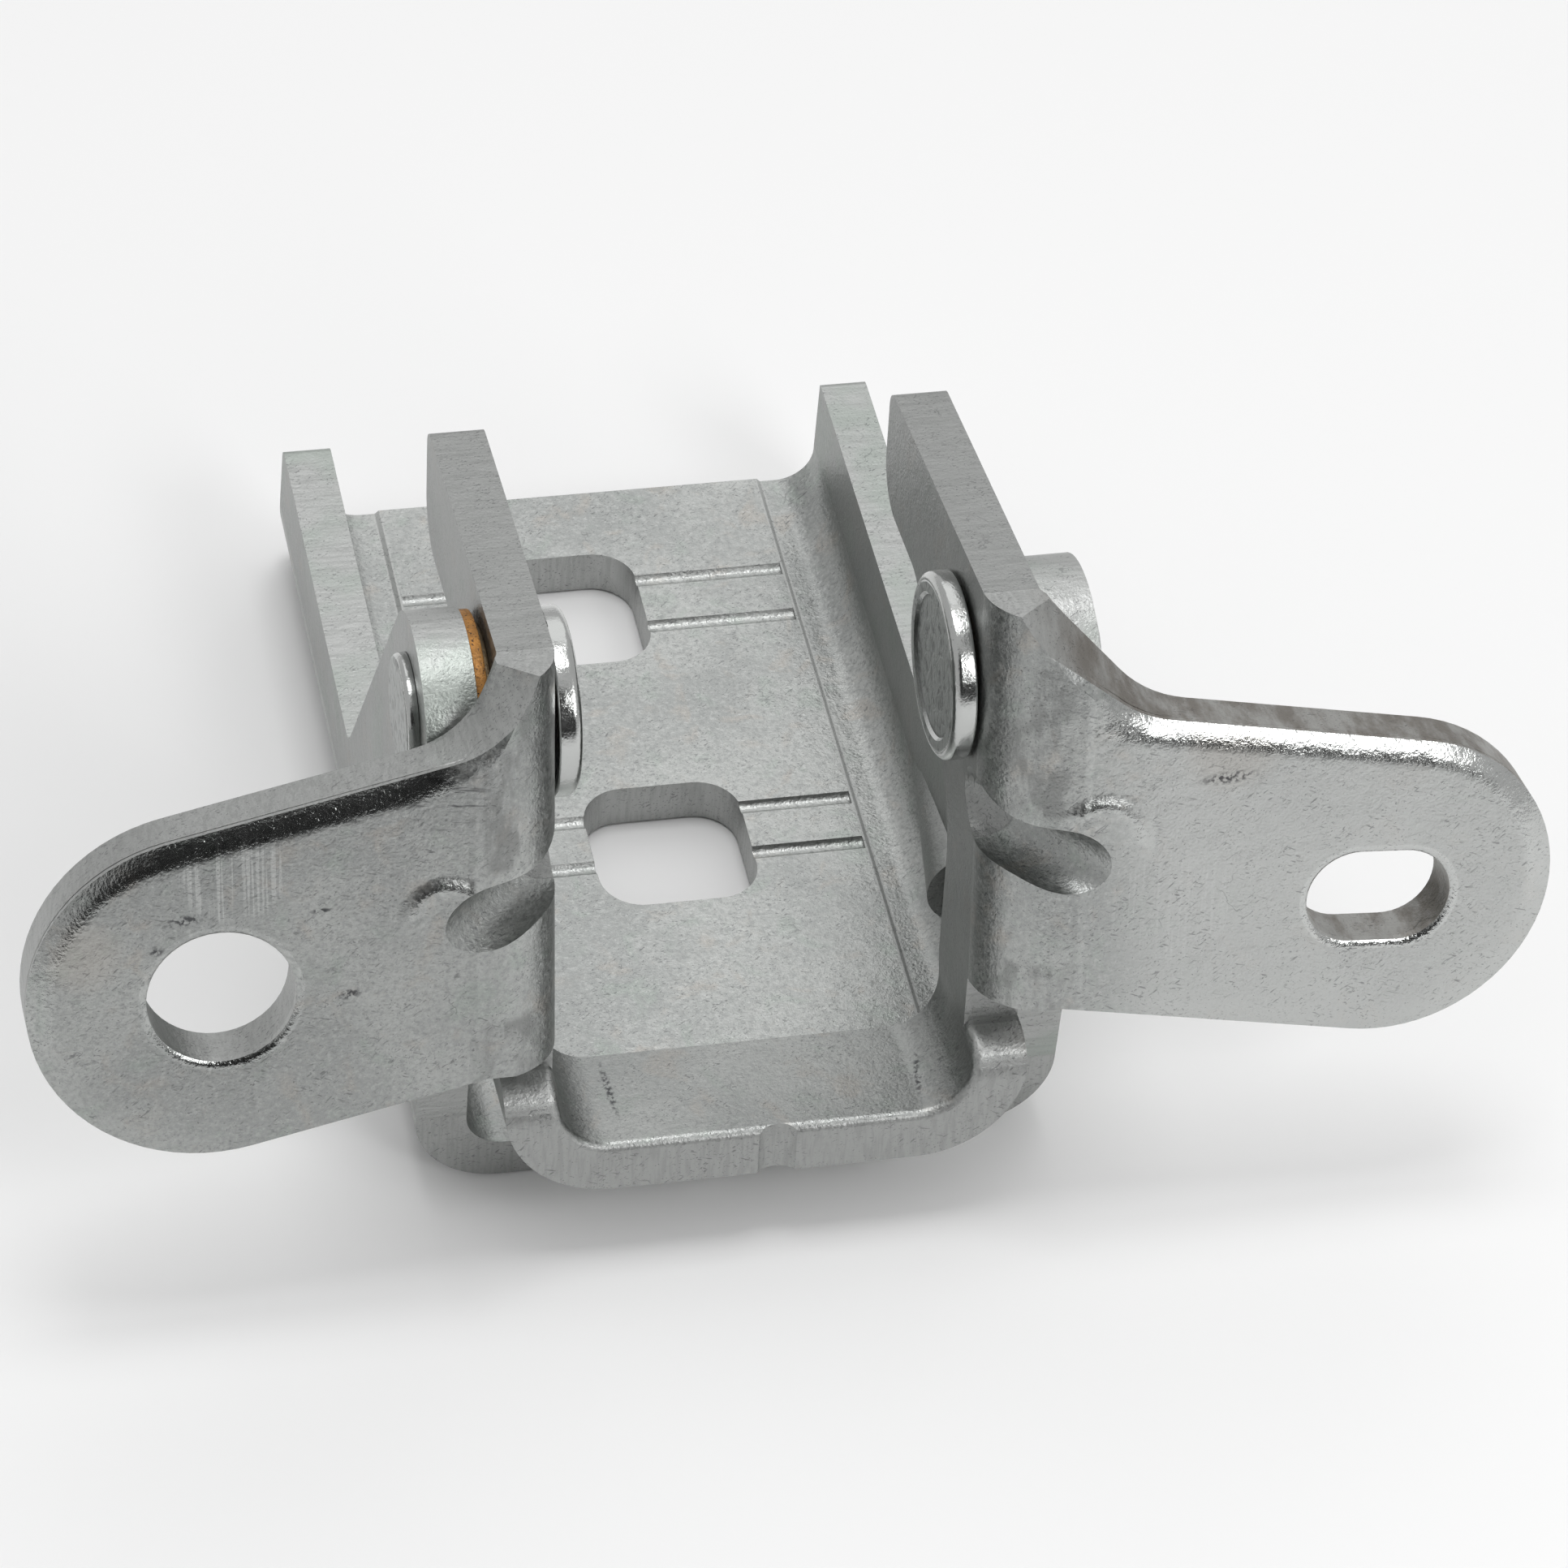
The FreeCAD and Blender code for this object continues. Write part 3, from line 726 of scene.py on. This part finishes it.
def channelZones(tree, where, facing):
    c = channel
    x, y, z = split(tree, where)
    across = magnitude(tree, x)
    leanX, leanY, leanZ = [magnitude(tree, lean) for lean in split(tree, facing)]
    onWall = ease(tree, z, *c["wallFrom"])
    offWall = inverse(tree, onWall)
    ends = ease(tree, leanY, *c["cutEnd"])
    rims = times(tree, onWall, ease(tree, leanX, *c["cutRim"]))
    onPad = times(tree, ease(tree, across, *c["padEdge"]), offWall)
    holes = times(tree, onPad, ease(tree, leanZ, *c["cutHole"]))
    cut = either(tree, ends, rims, holes)
    # painted highlight: a thin lighter line along the pad's step, standing in for the light caught
    # on its slope; it is also made dull
    litStep = times(tree, near(tree, across, c["stepAt"], c["stepWidth"], c["stepCore"]),
                 ease(tree, z, *c["stepFrom"]), offWall)
    tinted = times(tree, onWall, shown(tree, where, c["tintFields"]))
    # painted shade on the flange walls
    darkTone = times(tree, onWall, inverse(tree, cut), c["wallShade"])
    return {
        "cut": cut,
        "roll": 0.0,
        "dull": litStep,
        "ways": [(zinc["stripesAlongX"], 1.0), (zinc["stripesAlongZ"], offWall)],
        "tints": [(tinted, zinc["green"]), (litStep, zinc["wipedAndHighlight"]), (darkTone, zinc["darkTone"])],
        "scars": [],
        "dents": [],
    }


# Rivets: bright heads with a worn, bare recess

rivet = {
    "axle": (-0.0383, 0.0456),
    "recess": 0.0059,
    "recessLine": 0.0004,
    "faceEdge": (0.0071, 0.0069),
    "flatFace": (0.85, 0.97),
    "rim": (0.50, 0.51, 0.50, 1),
    "face": (0.36, 0.375, 0.365, 1),
    "dirt": (0.06, 0.06, 0.06, 1),
    "rimRough": 0.17,
    "faceRough": 0.36,
    "wear": {"scale": 900.0, "detail": 3.0, "rough": 0.6, "twist": 0.5,
             "shows": (0.5, 0.36, 0.0, 0.6), "swings": (0.3, 0.7, -0.04, 0.05)},
    "grain": {"scale": 3500.0, "rough": 0.6, "specks": (0.70, 0.77, 0.0, 0.6)},
    "lineShare": 0.55,
    "grainDepth": 0.00002,
    "dentDepth": 0.00022,
}


def axleDistance(tree, where, axle):
    x, y, z = split(tree, where)
    dy = calc(tree, "SUBTRACT", y, axle[0])
    dz = calc(tree, "SUBTRACT", z, axle[1])
    return calc(tree, "SQRT", calc(tree, "ADD", times(tree, dy, dy), times(tree, dz, dz)))


def makeRivetZinc(name, r):
    mat, tree, skin = newBench(name)
    coord = tree.nodes.new("ShaderNodeTexCoord")
    where = coord.outputs["Object"]
    flat = ease(tree, magnitude(tree, split(tree, coord.outputs["Normal"])[0]), *r["flatFace"])
    away = axleDistance(tree, where, r["axle"])
    inside = times(tree, flat, ease(tree, away, *r["faceEdge"]))
    wear = texture(tree, where, r["wear"])
    grain = texture(tree, where, r["grain"])
    line = times(tree, near(tree, away, r["recess"], r["recessLine"]), flat, r["lineShare"])
    dirt = times(tree, ease(tree, wear, *r["wear"]["shows"]), inside)
    colour = blendColour(tree, inside, r["rim"], r["face"])
    colour = blendColour(tree, dirt, colour, r["dirt"])
    dark = either(tree, line, ease(tree, grain, *r["grain"]["specks"]))
    plug(tree, skin.inputs["Base Color"], blendColour(tree, dark, colour, r["dirt"]))
    skin.inputs["Metallic"].default_value = 1.0
    rough = blendValue(tree, inside, r["rimRough"], r["faceRough"])
    rough = calc(tree, "ADD", rough, ease(tree, wear, *r["wear"]["swings"]))
    plug(tree, skin.inputs["Roughness"], rough)
    dents = times(tree, wear, inside)
    plug(tree, skin.inputs["Normal"], bump(tree, (grain, r["grainDepth"]), (dents, r["dentDepth"])))
    return mat


# Bushes and washers: dull bronze with dark dots; the bushes' much darker bronze is painted shade

bronze = {
    "washer": {
        "metalAndShade": (0.50, 0.235, 0.055, 1),
        "dark": (0.05, 0.03, 0.02, 1),
        "rough": 0.5,
        "dotShare": 0.9,
    },
    # painted shade: the bush's bronze is made much darker than the washer's, standing in for the
    # shade that falls on the bush
    "bush": {
        "metalAndShade": (0.16, 0.115, 0.06, 1),
        "dark": (0.04, 0.03, 0.025, 1),
        "rough": 0.45,
        "dotShare": 0.7,
    },
    "metallic": 0.55,
    "clouds": {"scale": 500.0, "detail": 3.0, "rough": 0.6, "shows": (0.35, 0.65, 0.0, 0.35)},
    "grain": {"scale": 4200.0, "rough": 0.6, "swings": (0.3, 0.7)},
    "dots": {"scale": 5200.0, "detail": 1.0, "shows": (0.6, 0.68)},
    "roughSwing": (-0.08, 0.1),
    "grainDepth": 0.00004,
}


def makeBronze(name, b, own):
    mat, tree, skin = newBench(name)
    where = tree.nodes.new("ShaderNodeTexCoord").outputs["Object"]
    grain = texture(tree, where, b["grain"])
    dots = times(tree, shown(tree, where, b["dots"]), own["dotShare"])
    colour = blendColour(tree, shown(tree, where, b["clouds"]), own["metalAndShade"], own["dark"])
    plug(tree, skin.inputs["Base Color"], blendColour(tree, dots, colour, own["dark"]))
    skin.inputs["Metallic"].default_value = b["metallic"]
    low, high = [own["rough"] + swing for swing in b["roughSwing"]]
    plug(tree, skin.inputs["Roughness"], ease(tree, grain, *b["grain"]["swings"], low, high))
    plug(tree, skin.inputs["Normal"], bump(tree, (grain, b["grainDepth"])))
    return mat


# Soft edges and the finishes on every piece

edges = {
    "outer_bracket": 0.00022,
    "inner_bracket": 0.00022,
    "rivet_left": 0.00015,
    "rivet_right": 0.00015,
    "bush_left": 0.0001,
    "bush_right": 0.0001,
    "washer_left": 0.00006,
    "washer_right": 0.00006,
}

softening = {
    "weldReach": 0.000001,
    "sharpFrom": 35,  # degrees
    "steps": 2,
    "faceWeight": 100,
}


def soften(piece, width, s):
    weld = piece.modifiers.new("weld", "WELD")
    weld.merge_threshold = s["weldReach"]
    rounding = piece.modifiers.new("softEdge", "BEVEL")
    rounding.limit_method = "ANGLE"
    rounding.angle_limit = math.radians(s["sharpFrom"])
    rounding.width = width
    rounding.segments = s["steps"]
    shade = piece.modifiers.new("evenShade", "WEIGHTED_NORMAL")
    shade.weight = s["faceWeight"]


def dress(name, mat):
    obj = nodes[name]
    obj.data.materials.clear()
    obj.data.materials.append(mat)
    soften(obj, edges[name], softening)


dress("outer_bracket", makeZinc("outerZinc", zinc, channelZones))
dress("inner_bracket", makeZinc("innerZinc", zinc, stirrupZones))
rivetZinc = makeRivetZinc("rivetZinc", rivet)
washerBronze = makeBronze("washerBronze", bronze, bronze["washer"])
shadedBushBronze = makeBronze("shadedBushBronze", bronze, bronze["bush"])
for side in ("left", "right"):
    dress("rivet_" + side, rivetZinc)
    dress("washer_" + side, washerBronze)
    dress("bush_" + side, shadedBushBronze)
print("every piece has its finish and soft edges")
